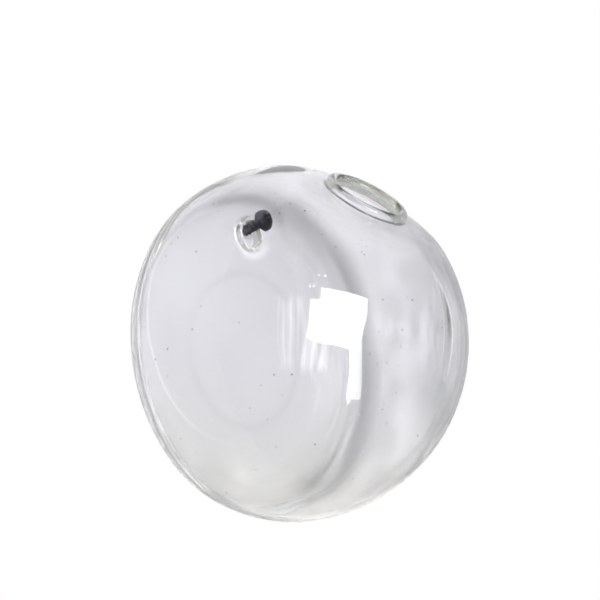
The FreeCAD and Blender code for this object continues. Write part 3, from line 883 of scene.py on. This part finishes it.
@dataclass(frozen=True)
class Glint:
    """A pale upright place in the surroundings, such as a curtain or a door, that shows in the glass alone.

    Args:
        heading: Level direction of its middle, as the angle from -Y towards +X in radians.
        height: Upward part of the direction of its middle.
        width: Reach to each side, as a part of the direction.
        rise: Reach up and down, as a part of the direction.
        strength: Brightness at its middle.
    """

    heading: float
    height: float
    width: float
    rise: float
    strength: float

    def share(self, tree: Tree, towards: list[Socket]) -> Socket:
        """Builds its share of a direction.

        Args:
            towards: The three parts of the direction.

        Returns:
            A share from 0 to 1.
        """
        x, y, z = towards
        sine, cosine = math.sin(self.heading), math.cos(self.heading)
        across = tree.maths("MULTIPLY_ADD", x, cosine, tree.product(y, sine))
        ahead = tree.maths("MULTIPLY_ADD", x, sine, tree.product(y, -cosine))
        side = tree.maths("DIVIDE", across, self.width)
        square = tree.squares(side, tree.past(z, self.height, self.rise))
        share = tree.fall(tree.product(square, square))
        return tree.product(share, tree.maths("GREATER_THAN", ahead, 0.0))


def rectangle(left: float, right: float, low: float, high: float) -> list[Pair]:
    """Gives the corners of a rectangle, in the order of its outline."""
    return [(left, low), (right, low), (right, high), (left, high)]


def panel(name: str, corners: list[Triple], material: Material) -> bpy.types.Object:
    """Makes a flat piece of the surroundings.

    Args:
        name: Name of the piece.
        corners: Its four corners, turning left as seen from the side that it faces.
        material: Its material.

    Returns:
        The piece, linked to the scene.
    """
    mesh = bpy.data.meshes.new(name)
    mesh.from_pydata(corners, [], [tuple(range(len(corners)))])
    mesh.materials.append(material)
    piece = bpy.data.objects.new(name, mesh)
    bpy.context.scene.collection.objects.link(piece)
    return piece


@dataclass
class Drape:
    """A pale drape beside the window. It shows in reflections alone and lights nothing."""

    heading: float = math.radians(-36.0)
    distance: float = 1.0
    width: float = 0.66
    low: float = -0.58
    high: float = 0.34
    strength: float = 6.0
    folds: float = 17.0
    fold_scale: float = 1.0
    fold_limits: Pair = (0.30, 0.80)
    border: Pair = (1.0, 0.6)

    def material(self) -> Material:
        """Builds the cloth, which thins out to nothing at its borders.

        Returns:
            The material.
        """
        material, tree, output = new_material("pale_drape")
        x, _, z = tree.axes(tree.place())
        side = tree.maths("DIVIDE", x, self.width / 2)
        level = tree.past(z, (self.low + self.high) / 2, (self.high - self.low) / 2)
        far = tree.maths("MAXIMUM", tree.maths("ABSOLUTE", side), tree.maths("ABSOLUTE", level))
        drawn_up = tree.joined(tree.product(x, self.folds), z)
        fold = tree.ease(tree.noise(drawn_up, self.fold_scale), *self.fold_limits)
        glow = tree.node("ShaderNodeEmission", {"Strength": tree.product(fold, self.strength)})
        clear = tree.node("ShaderNodeBsdfTransparent")
        tree.feed(output.inputs["Surface"], tree.blend(tree.ease(far, *self.border), clear, glow))
        return material

    def build(self) -> None:
        """Hangs the drape."""
        half = self.width / 2
        corners = [(x, 0.0, z) for x, z in rectangle(-half, half, self.low, self.high)]
        drape = panel("drape", corners, self.material())
        away = Vector((math.sin(self.heading), -math.cos(self.heading), 0.0)) * self.distance
        drape.matrix_world = Matrix.Translation(away) @ Matrix.Rotation(self.heading, 4, "Z")
        drape.visible_camera = False
        drape.visible_diffuse = False
        drape.visible_transmission = False
        drape.visible_shadow = False


@dataclass(frozen=True)
class PaintedWallShadeAndLight:
    """A soft part of a ring painted on the wall, in millimetres: painted shade where the vessel would shade
    the wall, painted light where it would throw light on it.

    Args:
        middle: Place of its middle across the wall.
        spread: Reach to each side of the middle.
        above: Whether it is the upper part of the ring, the lower part, or with None both.
        strength: Part of the light that it takes at its middle; cast light is negative.
        radius: Radius of the ring, or 0 for a plain spot.
        width: Reach across the ring.
        centre: Centre of the ring, across and above the vessel's axis.
    """

    middle: float
    spread: float
    above: bool | None
    strength: float
    radius: float = 68.5
    width: float = 6.0
    centre: Pair = (0.0, 0.0)

    def left(self, tree: Tree, across: Socket, rise: Socket) -> Socket:
        """Builds the part of the light that it leaves.

        Args:
            across: Place across the wall.
            rise: Height above the vessel's axis.

        Returns:
            A factor: 1 where it does nothing, less in shade and more in cast light.
        """
        radius = self.radius * MM
        level = tree.maths("SUBTRACT", rise, self.centre[1] * MM)
        aside = tree.maths("SUBTRACT", across, self.centre[0] * MM)
        past = tree.past(tree.length(level, aside), radius, self.width * MM)
        side = tree.past(across, self.middle * MM, self.spread * MM)
        fall = tree.fall(tree.squares(past, side))
        if self.above is not None:
            fall = tree.product(fall, tree.ease(level, 0.0, radius / 2 if self.above else -radius / 2))
        return tree.maths("MULTIPLY_ADD", fall, -self.strength, 1.0)


@dataclass
class Studio:
    """Floor, backdrop and soft lights round the vase.

    The pairs are the start and the end of an ease, apart from the window's share, which is its width and
    height for each metre of its distance.
    """

    floor_level: float = -0.60
    floor_span: float = 12.0
    floor_paint: Colour = (0.9, 0.9, 0.9, 1.0)
    floor_glow: float = 0.5
    wall_span: float = 2.4
    wall_gap: float = 0.2 * MM
    wall_high: Colour = (0.750, 0.744, 0.781, 1.0)
    wall_low: Colour = (0.735, 0.724, 0.706, 1.0)
    wall_rise: Pair = (-0.13, -0.05)
    # Painted shade: the wall darkens towards the right, standing in for the light falling off away from the
    # window.
    painted_far_shade: float = 0.66
    painted_far_shade_reach: Pair = (0.10, 0.16)
    # Painted caustics: a soft mottle of painted shade on the wall towards the right, standing in for light
    # that the uneven glass scatters.
    painted_caustic_size: float = 34.0 * MM
    painted_caustic_shade: float = 0.80
    painted_caustic_limits: Pair = (0.35, 0.60)
    painted_caustic_reach: Pair = (0.070, 0.100)
    painted_wall_shade_and_light: tuple[PaintedWallShadeAndLight, ...] = (
        # Painted shadow of the heel, above the vessel's axis.
        PaintedWallShadeAndLight(3.0, 29.0, True, 0.42),
        # Painted shadow of the heel, at its lower end.
        PaintedWallShadeAndLight(38.0, 15.0, False, 0.28),
        # Painted light: the crescent that the hole's collar throws on the wall.
        PaintedWallShadeAndLight(3.2, 11.0, False, -0.34, 8.4, 2.3, (4.2, 51.0)),
        # Painted reflection: a thin light line at the left.
        PaintedWallShadeAndLight(-58.0, 34.0, None, -0.20, 51.2, 0.7, (-6.4, 10.2)),
        # Painted shade at the right.
        PaintedWallShadeAndLight(124.0, 60.0, None, 0.30, 0.0, 17.0, (124.0, -2.0)),
        # Painted shade at the upper right.
        PaintedWallShadeAndLight(123.0, 60.0, None, 0.22, 0.0, 10.0, (123.0, 48.0)),
        # Painted light spot.
        PaintedWallShadeAndLight(80.0, 60.0, None, -0.24, 0.0, 12.0, (80.0, 18.0)),
        # Painted shade at the lower left.
        PaintedWallShadeAndLight(-22.0, 60.0, None, 0.17, 0.0, 13.0, (-22.0, -60.0)),
        # Painted reflection: a pale patch low down.
        PaintedWallShadeAndLight(-3.0, 60.0, None, -0.10, 0.0, 7.0, (-3.0, -54.0)),
    )
    room_level: float = 0.03
    room_end: float = 0.14
    room_reach: Pair = (-0.8, 0.5)
    ceiling_level: float = 0.35
    ceiling_reach: Pair = (0.2, 0.7)
    window_radiance: float = 11.4
    window_through: float = 0.45
    window_way: Triple = (-0.25, -1.0, 0.12)
    window_distance: float = 1.8
    window_share: Pair = (0.54, 0.60)
    window_roll: float = math.radians(-12)
    glints: tuple[Glint, ...] = (
        Glint(math.radians(78.0), 0.16, 0.035, 0.26, 2.4),
        Glint(math.radians(-25.9), 0.555, 0.013, 0.016, 11.0),
        Glint(math.radians(-21.4), 0.545, 0.012, 0.014, 11.0),
    )

    def __post_init__(self) -> None:
        """Reads the height of the vessel's axis from the frame."""
        low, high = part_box("glass_vessel")
        self.axis_height = low.z + (high.x - low.x) / 2

    def surroundings_strength(self, tree: Tree) -> Socket:
        """Strength of the surroundings: white to the eye, shaded in mirrors and glass, low as a light."""
        path = tree.node("ShaderNodeLightPath").outputs
        bent = tree.maths("MAXIMUM", path["Is Glossy Ray"], path["Is Transmission Ray"])
        bent = tree.product(bent, tree.maths("LESS_THAN", path["Diffuse Depth"], HALF))
        towards = tree.axes(tree.node("ShaderNodeTexCoord").outputs["Generated"])
        shade = tree.ease(towards[1], *self.room_reach, self.room_end, 1.0)
        ceiling = tree.ease(towards[2], *self.ceiling_reach, 1.0, self.ceiling_level)
        bright = tree.mix(bent, self.room_level, tree.product(shade, ceiling), "FLOAT")
        for glint in self.glints:
            share = tree.product(glint.share(tree, towards), bent)
            bright = tree.maths("MULTIPLY_ADD", share, glint.strength, bright)
        return tree.maths("MAXIMUM", bright, path["Is Camera Ray"])

    def world(self) -> None:
        """Sets the white surroundings."""
        world = bpy.data.worlds.new("white_surroundings")
        bpy.context.scene.world = world
        world.use_nodes = True
        world.node_tree.nodes.clear()
        tree = Tree(world.node_tree)
        strength = self.surroundings_strength(tree)
        light = tree.out("ShaderNodeBackground", {"Color": WHITE, "Strength": strength})
        tree.node("ShaderNodeOutputWorld", {"Surface": light})

    def floor(self) -> None:
        """Lays a plain pale floor well below the vase."""
        material, tree, output = new_material("pale_floor")
        path = tree.node("ShaderNodeLightPath").outputs
        bent = tree.maths("MAXIMUM", path["Is Glossy Ray"], path["Is Transmission Ray"])
        bright = tree.maths("MAXIMUM", tree.product(bent, self.floor_glow), path["Is Camera Ray"])
        paint = tree.node("ShaderNodeBsdfDiffuse", {"Color": self.floor_paint})
        glow = tree.node("ShaderNodeEmission", {"Strength": bright})
        seen = tree.maths("MAXIMUM", bent, path["Is Camera Ray"])
        tree.feed(output.inputs["Surface"], tree.blend(seen, paint, glow))
        half = self.floor_span / 2
        corners = [(x, y, self.floor_level) for x, y in rectangle(-half, half, -half, half)]
        floor = panel("floor", corners, material)

    def wall_colour(self, tree: Tree) -> Socket:
        """Builds the wall's paint with painted shade and painted light on it: a painted shade towards the
        right, painted caustics, and the painted shadows, light and reflections of the vessel.

        Returns:
            A colour.
        """
        place = tree.place()
        x, _, z = tree.axes(place)
        paint = tree.mix(tree.ease(z, *self.wall_rise), self.wall_low, self.wall_high)
        spots = tree.noise(place, 1.0 / self.painted_caustic_size)
        painted_caustics = tree.ease(spots, *self.painted_caustic_limits, self.painted_caustic_shade, 1.0)
        cast = tree.mix(tree.ease(x, *self.painted_caustic_reach), 1.0, painted_caustics, "FLOAT")
        shaded = tree.product(tree.ease(x, *self.painted_far_shade_reach, 1.0, self.painted_far_shade), cast)
        rise = tree.maths("SUBTRACT", z, self.axis_height)
        for tone in self.painted_wall_shade_and_light:
            shaded = tree.product(shaded, tone.left(tree, x, rise))
        return tree.vector_maths("SCALE", paint, shaded)

    def wall(self) -> None:
        """Stands a pale wall just behind the vase. It is white to the eye, and clear from behind."""
        material, tree, output = new_material("pale_wall")
        paint = tree.node("ShaderNodeBsdfDiffuse", {"Color": self.wall_colour(tree)})
        seen = tree.node("ShaderNodeLightPath").outputs["Is Camera Ray"]
        front = tree.blend(seen, paint, tree.node("ShaderNodeEmission")).node
        behind = tree.node("ShaderNodeNewGeometry").outputs["Backfacing"]
        both = tree.blend(behind, front, tree.node("ShaderNodeBsdfTransparent"))
        tree.feed(output.inputs["Surface"], both)
        half = self.wall_span / 2
        corners = [(x, self.wall_gap, z) for x, z in rectangle(-half, half, -half, half)]
        wall = panel("wall", corners, material)

    def pane_material(self) -> Material:
        """Builds the glow of the soft light. It is low for rays that reach it through the glass alone.

        Returns:
            The material.
        """
        material, tree, output = new_material("soft_light")
        path = tree.node("ShaderNodeLightPath").outputs
        turns = tree.maths("ADD", path["Diffuse Depth"], path["Glossy Depth"])
        through = tree.product(path["Is Transmission Ray"], tree.maths("LESS_THAN", turns, HALF))
        strength = tree.mix(through, self.window_radiance, self.window_through, "FLOAT")
        glow = tree.node("ShaderNodeEmission", {"Strength": strength})
        behind = tree.node("ShaderNodeNewGeometry").outputs["Backfacing"]
        both = tree.blend(behind, glow, tree.node("ShaderNodeBsdfTransparent"))
        tree.feed(output.inputs["Surface"], both)
        material.cycles.emission_sampling = "FRONT"
        return material

    def window(self) -> None:
        """Hangs the rectangular soft light, as a glowing pane that no camera sees."""
        aim = Vector(LOOK_AT)
        place = aim + Vector(self.window_way) * self.window_distance
        across, up = (share * self.window_distance / 2 for share in self.window_share)
        corners = [(x, y, 0.0) for y, x in rectangle(-up, up, -across, across)]
        pane = panel("window", corners, self.pane_material())
        facing = (aim - place).to_track_quat("-Z", "Y").to_matrix().to_4x4()
        pane.matrix_world = Matrix.Translation(place) @ facing @ Matrix.Rotation(self.window_roll, 4, "Z")
        pane.visible_camera = False

    def build(self) -> None:
        """Builds the surroundings and the lights."""
        self.world()
        self.floor()
        self.wall()
        Drape().build()
        self.window()


@dataclass
class PhotoCamera:
    """The photograph's camera: low at the vase's left, looking up and inwards."""

    azimuth: float = math.radians(-45.65)
    elevation: float = math.radians(-9.0)
    distance: float = 1.0083
    lens: float = 144.0
    sensor: float = 36.0
    nearest: float = 0.01
    right_aim: float = 3.93 * MM
    up_aim: float = 18.05 * MM

    def build(self) -> None:
        """Places the camera and makes it the scene's own."""
        flat = math.cos(self.elevation)
        sine, cosine = math.sin(self.azimuth), math.cos(self.azimuth)
        away = Vector((sine * flat, -cosine * flat, math.sin(self.elevation)))
        right = Vector((cosine, sine, 0.0))
        up = away.cross(right)
        target = Vector(LOOK_AT)
        place = target + away * self.distance
        aim = target + right * self.right_aim + up * self.up_aim
        data = bpy.data.cameras.new("photo_camera")
        data.lens = self.lens
        data.sensor_width = self.sensor
        data.clip_start = self.nearest
        camera = bpy.data.objects.new("photo_camera", data)
        facing = (aim - place).to_track_quat("-Z", "Y").to_matrix().to_4x4()
        camera.matrix_world = Matrix.Translation(place) @ facing
        bpy.context.scene.collection.objects.link(camera)
        bpy.context.scene.camera = camera


def main() -> None:
    """Builds the vase, its surroundings and the camera."""
    scene = bpy.context.scene
    scene.view_settings.view_transform = "Standard"
    scene.cycles.blur_glossy = 0.0
    scene.cycles.max_bounces = MOST_TURNS
    scene.cycles.transmission_bounces = MOST_TURNS
    scene.cycles.glossy_bounces = MIRROR_TURNS
    BlownVessel().build()
    HangingScrew().build()
    Studio().build()
    PhotoCamera().build()


if __name__ == "__main__":
    main()
